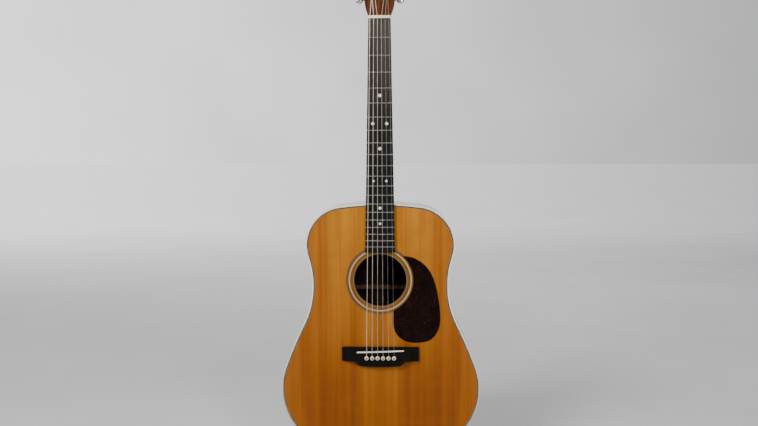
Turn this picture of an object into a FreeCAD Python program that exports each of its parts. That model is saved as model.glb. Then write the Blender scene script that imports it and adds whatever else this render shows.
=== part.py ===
import FreeCAD, Part
import math
import os
import re

import Sketcher
from FreeCAD import Placement, Rotation, Vector

# Steel-string acoustic guitar with a dreadnought body.
#
# Frame: the origin is the strap pin's axis at the tail of the body. +Z runs up the neck, the
# soundboard faces -Y and the bass side is -X. The plane X = 0 is the guitar's middle.
# Every length is in millimetres and every angle in degrees.

SIZES = {
    # body outline, seen from the front: six arcs a side, tail at Z = 0
    "body_length": 508.0,
    "lower_half": 196.8,
    "waist_half": 134.3,
    "upper_half": 147.0,
    "tail_arc": 332.0,
    "lower_arc": 128.0,
    "flank_arc": 843.0,
    "waist_arc": 176.0,
    "shoulder_arc": 77.0,
    "top_arc": 582.0,
    # body depth: the back is part of a large ball
    "front_y": -61.9,
    "back_ball": 4572.0,
    "back_ball_y": -4510.0,
    "back_ball_z": 26.0,
    # rim, plates and edge trim
    "rim_wide": 2.2,
    "top_thick": 2.8,
    "back_thick": 2.5,
    "binding_deep": 5.8,
    "purfling_wide": 3.4,
    "purfling_deep": 1.4,
    "lining_wide": 6.0,
    "lining_deep": 14.0,
    "brace_tall": 14.0,
    "brace_wide": 8.0,
    "cross_z": 276.0,
    "cross_lean": 49.0,
    # sound hole and rosette
    "hole_z": 357.2,
    "hole_radius": 51.4,
    "inlay_deep": 0.9,
    "guard_thick": 0.9,
    "guard_inner": 65.2,
    # blocks, graft and strap pin
    "block_half": 32.0,
    "head_block_deep": 44.0,
    "tail_block_deep": 18.0,
    "graft_half": 8.0,
    "strap_bore": 3.2,
    "strap_head": 7.0,
    # neck and fingerboard
    "scale_length": 645.2,
    "nut_z": 865.8,
    "nut_thick": 5.2,
    "nut_width": 42.9,
    "octave_width": 54.0,
    "board_end_z": 412.2,
    "board_thick": 6.5,
    "board_radius": 406.4,
    "neck_deep_nut": 14.5,
    "neck_deep_heel": 17.0,
    "neck_width_heel": 55.0,
    "heel_end_y": 33.4,
    "heel_cap_thick": 2.2,
    "fret_wide": 2.1,
    "fret_tall": 1.1,
    "tang_deep": 1.8,
    "tang_wide": 0.6,
    # headstock
    "head_pitch": 15.0,
    "head_length": 166.0,
    "head_thick": 13.0,
    "headplate_thick": 2.0,
    # bridge and strings
    "bridge_z": 224.4,
    "bridge_half": 76.2,
    "bridge_thick": 8.8,
    "saddle_z": 216.2,
    "saddle_half": 46.6,
    "saddle_lean": 2.0,
    "saddle_thick": 2.6,
    "saddle_tall": 11.5,
    "saddle_round": 1.9,
    "pin_z": 203.3,
    "pin_pitch": 10.8,
    "pin_radius": 2.6,
    "pin_collar": 1.9,
    "string_lift": 8.1,
    "string_spread_nut": 36.5,
    # tuners, measured from each string post
    "post_radius": 3.0,
    "coil_gap": 0.12,
    "running_gap": 0.06,
    "wheel_y": 18.2,
    "wheel_wide": 3.2,
    "wheel_outer": 5.55,
    "wheel_root": 4.3,
    "wheel_teeth": 14.0,
    "worm_drop": 7.7,
    "worm_core": 1.9,
    "worm_outer": 3.1,
    "worm_half": 4.0,
    "shaft_radius": 1.5,
    "plate_thick": 1.2,
}
STRINGS = [("e_low", 1.35), ("a", 1.07), ("d", 0.81), ("g", 0.61), ("b", 0.41), ("e_high", 0.30)]
# (distance from the middle, distance from the nut, string's height above the headplate) of each post
POSTS = [(18.1, 49.5, 4.7), (20.8, 89.5, 7.0), (24.0, 129.5, 6.0)]

BACKWARD = Vector(0, 1, 0)

doc = FreeCAD.newDocument("guitar")
sheet = doc.addObject("Spreadsheet::Sheet", "sizes")
for row, (alias, size) in enumerate(SIZES.items(), 1):
    sheet.set(f"A{row}", alias)
    sheet.set(f"B{row}", str(size))
    sheet.setAlias(f"B{row}", alias)
doc.recompute()

nodes = []


# --- helpers: everything below takes sizes as expressions in the sheet's words --------------------

def cells(text):
    """An expression whose words are sheet aliases, ready for setExpression."""
    return re.sub(r"[a-z][a-z_]+", lambda m: f"sizes.{m[0]}" if m[0] in SIZES else m[0], str(text))


def value(text):
    return float(sheet.evalExpression(cells(text)))


def bind(thing, **sizes):
    for name, text in sizes.items():
        thing.setExpression(name.replace("__", "."), cells(text))
    return thing


def place(thing, across="0", back="0", up="0"):
    return bind(thing, Placement__Base__x=across, Placement__Base__y=back, Placement__Base__z=up)


def make(kind, name):
    return doc.addObject(kind, name)


def box(name, x, y, z):
    """A block between pairs of limits along X, Y and Z."""
    block = bind(make("Part::Box", name), Length=f"({x[1]}) - ({x[0]})",
                 Width=f"({y[1]}) - ({y[0]})", Height=f"({z[1]}) - ({z[0]})")
    return place(block, x[0], y[0], z[0])


def rod(name, radius, start, length, toward=Vector(0, 0, 1)):
    """A cylinder from the point start, given as three expressions."""
    bar = bind(make("Part::Cylinder", name), Radius=radius, Height=length)
    bar.Placement = Placement(Vector(0, 0, 0), Rotation(Vector(0, 0, 1), toward))
    return place(bar, *start)


def ball(name, radius):
    """A ball about the centre of the back's curve."""
    return place(bind(make("Part::Sphere", name), Radius=radius), "0", "back_ball_y", "back_ball_z")


def cut(name, base, *tools):
    result = make("Part::Cut", name)
    result.Base = base
    result.Tool = tools[0] if len(tools) == 1 else group(name + "_tools", *tools)
    return result


def common(name, first, second):
    result = make("Part::Common", name)
    result.Base = first
    result.Tool = second
    return result


def fuse(name, *parts):
    result = make("Part::MultiFuse", name)
    result.Shapes = list(parts)
    return result


def group(name, *parts):
    result = make("Part::Compound", name)
    result.Links = list(parts)
    return result


def mirrored(name, source):
    result = make("Part::Mirroring", name)
    result.Source = source
    result.Base = Vector(0, 0, 0)
    result.Normal = Vector(1, 0, 0)
    return result


def node(thing, name):
    """Names a finished sub-part; its label is its file's name."""
    thing.Label = name
    nodes.append(thing)
    return thing


def arc_centre(p, q, radius):
    """Centre of the arc from p to q: left of the way along it when radius is positive."""
    half = (q - p) * 0.5
    side = Vector(-half.y, half.x, 0).normalize()
    reach = math.sqrt(max(radius * radius - half.Length ** 2, 0.0))
    return p + half + side * (reach if radius > 0 else -reach)


def both_halves(corners):
    """Adds the bass side's corners, in order, to the treble side's; ends on X = 0 are kept once."""
    edges = [c[2] for c in corners[:-1]]
    back = []
    for k in range(len(corners) - 1, -1, -1):
        across, up, _ = corners[k]
        after = edges[k - 1] if k > 0 else None
        if across != "0":
            back.append((f"-({across})", up, after))
    top = corners[-1]
    if top[0] == "0":
        return corners[:-1] + [(top[0], top[1], edges[-1])] + back
    return corners[:-1] + [(top[0], top[1], None)] + back


def outline(name, corners, both_sides=False):
    """A closed sketch in the front plane. A corner is (x, z) or (x, z, radius of the next edge)."""
    corners = [(c[0], c[1], c[2] if len(c) > 2 else None) for c in corners]
    if both_sides:
        corners = both_halves(corners)
    sketch = make("Sketcher::SketchObject", name)
    sketch.Placement = Placement(Vector(0, 0, 0), Rotation(Vector(1, 0, 0), 90))
    points = [Vector(value(c[0]), value(c[1]), 0) for c in corners]
    ends = []
    for i, corner in enumerate(corners):
        p, q = points[i], points[(i + 1) % len(points)]
        if corner[2] is None:
            edge = sketch.addGeometry(Part.LineSegment(p, q), False)
            ends.append((edge, 1, 2))
            continue
        radius = value(corner[2])
        middle = arc_centre(p, q, radius)
        first, last = (p, q) if radius > 0 else (q, p)
        turn = [math.atan2(e.y - middle.y, e.x - middle.x) for e in (first, last)]
        circle = Part.Circle(middle, Vector(0, 0, 1), abs(radius))
        edge = sketch.addGeometry(Part.ArcOfCircle(circle, turn[0], turn[1]), False)
        ends.append((edge, 1, 2) if radius > 0 else (edge, 2, 1))
        fixed = sketch.addConstraint(Sketcher.Constraint("Radius", edge, abs(radius)))
        sketch.setExpression(f"Constraints[{fixed}]", f"abs({cells(corner[2])})")
    for i, corner in enumerate(corners):
        edge, start, _ = ends[i]
        before = ends[i - 1]
        sketch.addConstraint(Sketcher.Constraint("Coincident", before[0], before[2], edge, start))
        for kind, text, size in (("DistanceX", corner[0], points[i].x),
                                 ("DistanceY", corner[1], points[i].y)):
            if abs(size) < 1e-9:
                axis = -2 if kind == "DistanceX" else -1
                sketch.addConstraint(Sketcher.Constraint("PointOnObject", edge, start, axis))
                continue
            fixed = sketch.addConstraint(Sketcher.Constraint(kind, -1, 1, edge, start, size))
            sketch.setExpression(f"Constraints[{fixed}]", cells(text))
    return sketch


def plate(name, sketch, front, back, toward=BACKWARD):
    """A sketch or wire in the front plane, thickened between two depths."""
    slab = make("Part::Extrusion", name)
    slab.Base = sketch
    slab.DirMode = "Custom"
    slab.Dir = toward
    slab.Solid = True
    bind(slab, LengthFwd=f"({back}) - ({front})")
    return place(slab, "0", front, "0")


def turned(name, sketch, base, axis, angle, symmetric=False):
    """A sketch turned about an axis through the point base."""
    solid = make("Part::Revolution", name)
    solid.Source = sketch
    solid.Base = base
    solid.Axis = axis
    solid.Solid = True
    solid.Symmetric = symmetric
    bind(solid, Angle=angle)
    return solid


# --- body outline ---------------------------------------------------------------------------------

def body_sketch():
    """Tail, lower bout, flank, waist, shoulder and top arcs, tangent all the way round."""
    radii = ["tail_arc", "lower_arc", "flank_arc", "waist_arc", "shoulder_arc", "top_arc"]
    size = [value(r) for r in radii]
    tail = Vector(0, size[0])
    lower = Vector(value("lower_half - lower_arc"), 0)
    lower.y = size[0] - math.sqrt((size[0] - size[1]) ** 2 - lower.x ** 2)
    top = Vector(0, value("body_length - top_arc"))
    shoulder = Vector(value("upper_half - shoulder_arc"), 0)
    shoulder.y = top.y + math.sqrt((size[5] - size[4]) ** 2 - shoulder.x ** 2)
    waist = Vector(value("waist_half + waist_arc"), 0)
    waist.y = shoulder.y - math.sqrt((size[3] + size[4]) ** 2 - (waist.x - shoulder.x) ** 2)
    gap = waist - lower
    near, far = size[2] - size[1], size[2] + size[3]
    along = (near ** 2 - far ** 2 + gap.Length ** 2) / (2 * gap.Length)
    way = gap * (1 / gap.Length)
    flank = lower + way * along + Vector(-way.y, way.x) * math.sqrt(near ** 2 - along ** 2)
    centres = [tail, lower, flank, waist, shoulder, top]

    def meet(a, b, inside):
        return a + (b - a) * (inside / (b - a).Length)

    joins = [meet(tail, lower, size[0]), meet(flank, lower, size[2]), meet(flank, waist, size[2]),
             meet(shoulder, waist, size[4]), meet(top, shoulder, size[5])]

    def flip(p):
        return Vector(-p.x, p.y)

    def arc(centre, radius, first, last):
        turn = [math.atan2(p.y - centre.y, p.x - centre.x) for p in (first, last)]
        return Part.ArcOfCircle(Part.Circle(centre, Vector(0, 0, 1), radius), turn[0], turn[1])

    spans = [(joins[0], joins[1]), (joins[1], joins[2]), (joins[3], joins[2]), (joins[3], joins[4])]
    geometry = [arc(tail, size[0], flip(joins[0]), joins[0])]
    geometry += [arc(centres[k + 1], size[k + 1], *spans[k]) for k in range(4)]
    geometry.append(arc(top, size[5], joins[4], flip(joins[4])))
    geometry += [arc(flip(centres[k + 1]), size[k + 1], flip(spans[k][1]), flip(spans[k][0]))
                 for k in (3, 2, 1, 0)]
    sketch = make("Sketcher::SketchObject", "body_outline")
    sketch.Placement = Placement(Vector(0, 0, 0), Rotation(Vector(1, 0, 0), 90))
    sketch.addGeometry(geometry, False)
    for pair in [(0, 2, 1, 1), (1, 2, 2, 1), (2, 2, 3, 2), (3, 1, 4, 1), (4, 2, 5, 1), (5, 2, 6, 1),
                 (6, 2, 7, 2), (7, 1, 8, 1), (8, 2, 9, 1), (9, 2, 0, 1)]:
        sketch.addConstraint(Sketcher.Constraint("Tangent", *pair))

    def fix(constraint, text):
        index = sketch.addConstraint(constraint)
        sketch.setExpression(f"Constraints[{index}]", cells(text))

    for k, name in enumerate(radii):
        fix(Sketcher.Constraint("Radius", k, size[k]), name)
    for k in (1, 3, 4):
        sketch.addConstraint(Sketcher.Constraint("Symmetric", k, 3, 10 - k, 3, -2))
    sketch.addConstraint(Sketcher.Constraint("Equal", 2, 8))
    sketch.addConstraint(Sketcher.Constraint("PointOnObject", 0, 3, -2))
    sketch.addConstraint(Sketcher.Constraint("PointOnObject", 5, 3, -2))
    fix(Sketcher.Constraint("DistanceX", -1, 1, 1, 3, lower.x), "lower_half - lower_arc")
    fix(Sketcher.Constraint("DistanceX", -1, 1, 3, 3, waist.x), "waist_half + waist_arc")
    fix(Sketcher.Constraint("DistanceX", -1, 1, 4, 3, shoulder.x), "upper_half - shoulder_arc")
    fix(Sketcher.Constraint("DistanceY", -1, 1, 0, 3, tail.y), "tail_arc")
    fix(Sketcher.Constraint("DistanceY", -1, 1, 5, 3, top.y), "body_length - top_arc")
    return sketch


body = body_sketch()
insets = {}


def inset(text):
    """The body outline drawn in by a distance."""
    if text not in insets:
        ring = make("Part::Offset2D", f"inset_{len(insets)}")
        ring.Source = body
        bind(ring, Value=f"-({text})")
        insets[text] = ring
    return insets[text]


def rim(name, outer, inner, front, back):
    """A band that follows the body outline between two insets and two depths."""
    whole = plate(name + "_outer", body if outer == "0" else inset(outer), front, back)
    return cut(name, whole, plate(name + "_inner", inset(inner), front, back))


DEEP = "70"                                    # past the back everywhere
top_inside = "front_y + top_thick"
lining_inside = "rim_wide + lining_wide"
outer_back = ball("back_outer", "back_ball")
inner_back = ball("back_inner", "back_ball - back_thick")
cavity = plate("cavity", inset(lining_inside), top_inside, DEEP)
rim_space = plate("rim_space", inset("rim_wide"), top_inside, DEEP)
top_end = rod("top_end", "top_arc", ("0", "-100", "body_length - top_arc"), "200", BACKWARD)


# --- neck joint, blocks and truss rod -------------------------------------------------------------

tenon = outline("tenon_outline", [("9", "body_length + 12"), ("9", "body_length - 1"),
                                  ("12", "body_length - 17"), ("-12", "body_length - 17"),
                                  ("-9", "body_length - 1"), ("-9", "body_length + 12")])
tenon_solid = plate("tenon", tenon, "front_y + binding_deep", "10")
access = rod("rod_access", "3.2", ("0", "front_y + 6.2", "450"), "70")

head_block_box = box("head_block_box", ("-block_half", "block_half"), (top_inside, DEEP),
                     ("body_length - rim_wide - head_block_deep", "body_length"))
tail_block_box = box("tail_block_box", ("-block_half", "block_half"), (top_inside, DEEP),
                     ("-5", "rim_wide + tail_block_deep"))
pin_bore = rod("strap_bore_tool", "strap_bore", ("0", "0", "-5"), "30")


def block(name, shape):
    return common(name, common(name + "_rim", shape, rim_space), inner_back)


node(cut("head_block", block("head_block_raw", head_block_box), tenon_solid, access), "head_block")
node(cut("tail_block", block("tail_block_raw", tail_block_box), pin_bore), "tail_block")


# --- sides, linings, bindings and end graft -------------------------------------------------------

side_ring = common("side_ring", rim("side_band", "0", "rim_wide", "front_y + binding_deep", DEEP),
                   ball("side_limit", "back_ball - binding_deep"))
graft_box = box("graft_box", ("-graft_half", "graft_half"), ("front_y", DEEP), ("-5", "20"))
half_bass = box("half_bass", ("-300", "0"), ("-100", "100"), ("-50", "600"))
half_treble = box("half_treble", ("0", "300"), ("-100", "100"), ("-50", "600"))
open_ring = cut("open_ring", side_ring, graft_box, tenon_solid, access)
node(common("side_bass", open_ring, half_bass), "side_bass")
node(common("side_treble", open_ring, half_treble), "side_treble")
node(cut("end_graft", common("graft_raw", side_ring, graft_box), pin_bore), "end_graft")
node(cut("top_binding", rim("top_binding_ring", "0", "rim_wide", "front_y",
                            "front_y + binding_deep"), access), "top_binding")
back_band = rim("back_band", "0", "rim_wide", "0", DEEP)
back_shell = cut("binding_shell", outer_back, ball("binding_limit", "back_ball - binding_deep"))
node(common("back_binding", back_band, back_shell), "back_binding")

front_lining = rim("front_lining", "rim_wide", lining_inside, top_inside,
                   "front_y + top_thick + lining_deep")
node(cut("top_linings", front_lining, head_block_box, tail_block_box), "top_linings")
rear_lining = common("rear_lining", rim("rear_band", "rim_wide", lining_inside, "0", DEEP),
                     cut("lining_shell", inner_back,
                         ball("lining_limit", "back_ball - back_thick - lining_deep")))
node(cut("back_linings", rear_lining, head_block_box, tail_block_box), "back_linings")


# --- soundboard, its inlays and braces ------------------------------------------------------------

def ring(name, inner, outer):
    """A flat inlay about the sound hole."""
    hoop = rod(name + "_outer", outer, ("0", "front_y", "hole_z"), "inlay_deep", BACKWARD)
    core = rod(name + "_inner", inner, ("0", "front_y", "hole_z"), "inlay_deep", BACKWARD)
    return cut(name, hoop, core)


# (inner, outer) radius of each inlaid line about the sound hole
LIGHT_RINGS = [(52.5, 53.5), (59.6, 62.3), (66.1, 66.8)]
DARK_RINGS = [(52.0, 52.5), (53.5, 54.0), (59.0, 59.6), (62.3, 62.9), (65.5, 66.1), (66.8, 67.4)]
light_rings = group("rosette_light", *[ring(f"light_{k}", a, b) for k, (a, b) in enumerate(LIGHT_RINGS)])
dark_rings = group("rosette_dark", *[ring(f"dark_{k}", a, b) for k, (a, b) in enumerate(DARK_RINGS)])
purfling = rim("top_purfling", "rim_wide", "rim_wide + purfling_wide", "front_y",
               "front_y + purfling_deep")
hole = rod("sound_hole", "hole_radius", ("0", "front_y - 5", "hole_z"), "20", BACKWARD)


def string_x(index, spread):
    """Where string number index crosses a row of the given width."""
    return value(spread) * (index / 5 - 0.5)


def bridge_tools():
    """Pin holes, and a slot above each for its string, through bridge, top and bridge plate."""
    tools = []
    for index, (name, gauge) in enumerate(STRINGS):
        across = string_x(index, "5 * pin_pitch")
        tools.append(rod(f"pin_hole_{name}", "pin_radius + 0.05",
                         (across, "front_y - 12", "pin_z"), "30", BACKWARD))
        tools.append(rod(f"string_slot_{name}", gauge / 2 + 0.08,
                         (across, "front_y - 12", f"pin_z + pin_radius + {gauge / 2 + 0.1}"),
                         "30", BACKWARD))
    return tools


pin_holes = group("pin_holes", *bridge_tools())
top_plate = plate("top_plate", inset("rim_wide"), "front_y", top_inside)
node(cut("soundboard", top_plate, hole, light_rings, dark_rings, purfling, pin_holes), "soundboard")
node(light_rings, "rosette_light_rings")
node(dark_rings, "rosette_dark_rings")
node(purfling, "top_purfling")


def brace(name, across, up, length, wide, tall, lean):
    """A bar glued under the soundboard, leaning from the vertical about its middle."""
    bar = bind(make("Part::Box", name), Length=wide, Width=tall, Height=length)
    middle = Placement(Vector(-value(wide) / 2, 0, -value(length) / 2), Rotation())
    spot = Vector(value(across), value(top_inside), value(up))
    bar.Placement = Placement(spot, Rotation(Vector(0, 1, 0), lean)).multiply(middle)
    return common(name + "_fit", bar, cavity)


def x_braces():
    """Two long bars that cross below the sound hole, halved into each other."""
    lean = value("cross_lean")
    bars = [brace(f"x_brace_{k}", "0", "cross_z", "520", "brace_wide", "brace_tall", lean * side)
            for k, side in enumerate((1, -1))]
    near = box("lap_near", ("-12", "12"), (top_inside, "front_y + top_thick + brace_tall / 2"),
               ("cross_z - 12", "cross_z + 12"))
    crossing = common("crossing", bars[0], bars[1])
    upper = common("crossing_near", crossing, near)
    lower = cut("crossing_far", crossing, near)
    return group("x_braces", cut("x_brace_first", bars[0], upper),
                 cut("x_brace_second", bars[1], lower))


node(x_braces(), "x_braces")
across_bar = brace("transverse_bar", "0", "436", "330", "brace_wide * 1.4", "brace_tall", 90)
tone_bars = [brace("tone_bar_upper", "10", "156", "190", "brace_wide * 0.8", "brace_tall * 0.8", 108),
             brace("tone_bar_lower", "-8", "98", "190", "brace_wide * 0.8", "brace_tall * 0.8", 108)]
finger_bars = [brace(f"finger_bar_{k}", x, z, "56", "brace_wide * 0.7", "brace_tall * 0.6", lean)
               for k, (x, z, lean) in enumerate([("-122", "234", 70), ("-140", "190", 70),
                                                 ("122", "234", -70), ("140", "190", -70)])]
hole_bars = [brace(f"hole_bar_{k}", x, "372", "54", "10", "3", 0)
             for k, x in enumerate(("-62", "62"))]
node(group("top_braces", across_bar, *tone_bars, *finger_bars, *hole_bars), "top_braces")
plate_box = box("bridge_plate_box", ("-44", "44"), (top_inside, "front_y + top_thick + 2.5"),
                ("184", "230"))
node(cut("bridge_plate", plate_box, pin_holes), "bridge_plate")


# --- back -----------------------------------------------------------------------------------------

strip_groove = common("strip_shell", box("strip_box", ("-3.5", "3.5"), ("0", DEEP), ("-5", "520")),
                      cut("strip_depth", outer_back, ball("strip_limit", "back_ball - 1.2")))
back_strip = common("back_strip", strip_groove, plate("strip_rim", inset("rim_wide"), "0", DEEP))
back_plate = common("back_plate", plate("back_rim", inset("rim_wide"), "0", DEEP),
                    cut("back_shell", outer_back, inner_back))
grooved = cut("back_grooved", back_plate, strip_groove)
node(group("back_halves", common("back_half_bass", grooved, half_bass),
           common("back_half_treble", grooved, half_treble)), "back_halves")
node(back_strip, "back_centre_strip")

BACK_BRACES = [(440, 8, 20), (329, 8, 19), (213, 16, 13), (98, 16, 13)]   # (height, width, depth)
inner_cavity = common("back_cavity", cavity, inner_back)


def back_brace(up, wide, tall):
    low = f"back_ball_y + sqrt((back_ball - back_thick) ^ 2 - ({up} - back_ball_z) ^ 2) - {tall}"
    bar = box(f"back_bar_{up}", ("-300", "300"), (low, DEEP), (up - wide / 2, up + wide / 2))
    return common(f"back_brace_{up}", bar, inner_cavity)


back_braces = group("back_braces", *[back_brace(*spec) for spec in BACK_BRACES])
node(back_braces, "back_braces")
graft_shell = cut("graft_shell", inner_back, ball("graft_limit", "back_ball - back_thick - 1.5"))
graft_area = box("graft_area", ("-7", "7"), ("0", DEEP),
                 ("rim_wide + tail_block_deep", "body_length - rim_wide - head_block_deep"))
node(cut("back_graft", common("graft_strip", graft_area, graft_shell), back_braces), "back_graft")


# --- neck: shaft, heel, tenon and headstock -------------------------------------------------------

def ellipse(name, half_width, half_depth, across_axis, back, up):
    """A full ellipse: across the neck when across_axis is Z, across the heel when it is Y."""
    hoop = make("Part::Ellipse", name)
    wide, deep = value(half_width), value(half_depth)
    turn = Rotation(Vector(1, 0, 0), 90) if across_axis == "Y" else Rotation()
    swap = deep > wide
    bind(hoop, MajorRadius=half_depth if swap else half_width,
         MinorRadius=half_width if swap else half_depth)
    spin = Rotation(Vector(0, 0, 1), 90) if swap else Rotation()
    hoop.Placement = Placement(Vector(0, value(back), value(up)), turn.multiply(spin))
    return hoop


def loft(name, sections, ruled=False):
    solid = make("Part::Loft", name)
    solid.Sections = sections
    solid.Solid = True
    solid.Ruled = ruled
    return solid


def board_half(up):
    """Half the fingerboard's width at a height."""
    return (f"(nut_width + (octave_width - nut_width) * (nut_z - ({up})) * 2 / scale_length) / 2")


SHAFT_TOP = "nut_z + nut_thick + 6"
shaft = loft("shaft_round",
             [ellipse("shaft_heel", "neck_width_heel / 2", "neck_deep_heel", "Z", "front_y",
                      "body_length - 2"),
              ellipse("shaft_nut", board_half("nut_z"), "neck_deep_nut", "Z", "front_y", SHAFT_TOP)])


# (depth behind the fingerboard, half width, reach up the neck) of the heel
HEEL = [(3, 24.6, 70), (14, 24.9, 57), (26, 21.5, 38), (42, 17.0, 25), (66, 13.6, 18.5),
        (99, 12.0, 16.5)]
heel_sections = [ellipse(f"heel_{k}", str(half), str(reach), "Y", f"front_y + {deep}", "body_length - 2")
                 for k, (deep, half, reach) in enumerate(HEEL)]
heel_round = loft("heel_round", heel_sections)
neck_room = cut("neck_room", box("neck_zone", ("-60", "60"), ("front_y", "heel_end_y"),
                                    ("500", "nut_z + nut_thick")),
                top_end)
neck_body = common("neck_body", fuse("neck_round", shaft, heel_round), neck_room)

HEAD = Placement(Vector(0, value("front_y"), value("nut_z + nut_thick")),
                 Rotation(Vector(1, 0, 0), -value("head_pitch")))


def in_head(name, thing):
    """Carries a piece drawn square to the neck into the pitched headstock's place."""
    moved = group(name, thing)
    moved.Placement = HEAD
    return moved


def head_outline(name, low):
    """The head's outline: a flare above the nut, straight sides and a gently crowned top."""
    return outline(name, [("22.0", low), ("22.4", "0.3", "-19"), ("23.3", "4.3", "99"), ("29.4", "34"),
                          ("35.2", "head_length - 9", "5"), ("31.0", "head_length - 4", "140"),
                          ("0", "head_length")], both_sides=True)


head_wood = in_head("head_wood", plate("head_slab", head_outline("head_shape", "-2"), "0", "head_thick"))
below_nut_plane = box("nut_side", ("-60", "60"), ("front_y", "60"), ("nut_z - 30", "1200"))
throat = loft("throat", [ellipse("throat_low", "21.6", "14.9", "Z", "front_y", "nut_z - 12"),
                         ellipse("throat_nut", "22.9", "17.6", "Z", "front_y", "nut_z + nut_thick"),
                         ellipse("throat_high", "48", "42", "Z", "front_y", "nut_z + 34")])
head_room = fuse("head_room", common("throat_back", throat, below_nut_plane),
                 box("head_zone", ("-60", "60"), ("front_y", "60"), ("nut_z + 33.9", "1200")))
head_clean = common("head_clean", head_wood, head_room)


def post_of(index):
    """Side, distance from the middle, place up the head and string height of a string's post."""
    return (-1, *POSTS[index]) if index < 3 else (1, *POSTS[5 - index])


SCREW_UP = (7.4, -13.0)                                  # from the post, along the head


def head_holes():
    """Bores for the posts, their bushings and the screws of the tuners' plates."""
    tools = []
    for k in range(6):
        side, across, up, _ = post_of(k)
        x = side * across
        tools.append(rod(f"post_bore_{k}", "post_radius + 0.6", (x, "-10", up), "40", BACKWARD))
        tools.append(rod(f"bush_bore_{k}", "4.5", (x, "-10", up), "18", BACKWARD))
        for low in SCREW_UP:
            tools.append(rod(f"screw_bore_{k}_{low > 0}", "1.0", (x, "head_thick - 8", up + low), "20",
                             BACKWARD))
    return in_head("head_holes", group("head_hole_set", *tools))


holes = head_holes()
rod_channel = box("rod_channel", ("-3.1", "3.1"), ("front_y", "front_y + 9.6"),
                  ("body_length + 2", "nut_z - 8"))

neck_wood = fuse("neck_wood", neck_body, head_clean, tenon_solid)
neck = cut("neck", neck_wood, rod_channel, access, holes)
node(neck, "neck")
truss = fuse("truss_rod", box("rod_bar", ("-3", "3"), ("front_y + 0.1", "front_y + 9.5"),
                              ("body_length + 2.2", "nut_z - 8.2")),
             rod("rod_stem", "3.0", ("0", "front_y + 6.2", "452"), "60"))
node(truss, "truss_rod")

cap_zone = box("cap_zone", ("-60", "60"), ("heel_end_y", "heel_end_y + heel_cap_thick"),
               ("body_length - 3", "620"))
node(common("heel_cap", heel_round, cut("cap_room", cap_zone, top_end)), "heel_cap")

veneer = plate("headplate_slab", head_outline("headplate_shape", "0.2"), "-headplate_thick", "0")
veneer_in_place = in_head("headplate_raw", veneer)
nut_room = box("nut_room", ("-60", "60"), ("-100", "-40"), ("nut_z", "nut_z + nut_thick"))
node(cut("headplate", veneer_in_place, holes, nut_room), "headplate")


# --- fingerboard, frets, markers and nut ----------------------------------------------------------

def fret_z(number):
    return f"nut_z - scale_length * (1 - 2 ^ (-{number} / 12))"


board_top = "front_y - board_thick"
axis_y = f"{board_top} + board_radius"
crown = rod("board_crown", "board_radius", ("0", axis_y, "380"), "560")
board_shape = outline("board_outline", [(board_half("board_end_z"), "board_end_z"),
                                        (board_half("nut_z"), "nut_z")], both_sides=True)
board_block = plate("board_block", board_shape, f"{board_top} - 1", "front_y")
board_slab = common("board_slab", board_block, crown)


def fret_profile():
    """Fret wire seen end on: a round crown on the board and a thin tang below."""
    top, half = value(board_top), value("fret_wide") / 2
    tang, deep = value("tang_wide") / 2, value("tang_deep")
    corners = [Vector(0, top, -half), Vector(0, top - value("fret_tall"), 0), Vector(0, top, half)]
    low = [Vector(0, top, tang), Vector(0, top + deep, tang), Vector(0, top + deep, -tang),
           Vector(0, top, -tang)]
    arc = Part.Arc(*corners).toShape()
    lines = [Part.LineSegment(a, b).toShape() for a, b in
             zip([corners[2]] + low, low + [corners[0]])]
    profile = make("Part::Feature", "fret_face")
    profile.Shape = Part.Face(Part.Wire([arc] + lines))
    return profile


profile = fret_profile()
fret_wires = []
for number in range(1, 21):
    wire = turned(f"fret_{number}", profile, Vector(0, value(axis_y), 0), Vector(0, 0, 1),
                  f"2 * asin(({board_half(fret_z(number))} - 0.4) / board_radius)", symmetric=True)
    place(wire, "0", "0", fret_z(number))
    fret_wires.append(wire)
frets = group("frets", *fret_wires)

# (fret below the marker, distances across the board, radius)
DOTS = [(5, (0,), 3.2), (7, (-13.5, 13.5), 3.2), (9, (0,), 3.2), (12, (-12.6, 12.6), 2.3),
        (15, (0,), 2.9), (17, (0,), 2.6)]


def between_frets(number):
    return f"(({fret_z(number)}) + ({fret_z(number - 1)})) / 2"


def face_dots():
    dots = [rod(f"dot_{fret}_{k}", str(radius), (across, f"{board_top} - 1", between_frets(fret)), "2.4",
                BACKWARD)
            for fret, spots, radius in DOTS for k, across in enumerate(spots)]
    return common("face_dots", group("dot_rods", *dots), crown)


def edge_dots():
    """Small dots along the bass edge of the fingerboard, for the player."""
    dots = []
    for fret, spots, _ in DOTS:
        for k, shift in enumerate((-3, 3) if len(spots) > 1 and fret == 12 else (0,)):
            up = f"{between_frets(fret)} + {shift}"
            edge = f"0.05 - {board_half(up)}"
            dots.append(rod(f"edge_dot_{fret}_{k}", "1.0", (edge, "front_y - 3", up), "2",
                            Vector(1, 0, 0)))
    return group("edge_dots", *dots)


markers = group("fret_markers", face_dots(), edge_dots())
node(cut("fingerboard", board_slab, frets, markers), "fingerboard")
node(frets, "frets")
node(markers, "fret_markers")


# --- string paths: all other fits at the nut, saddle and posts follow them ------------------------

def crown_drop(across):
    radius = value("board_radius")
    return radius - math.sqrt(radius * radius - across * across)


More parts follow.
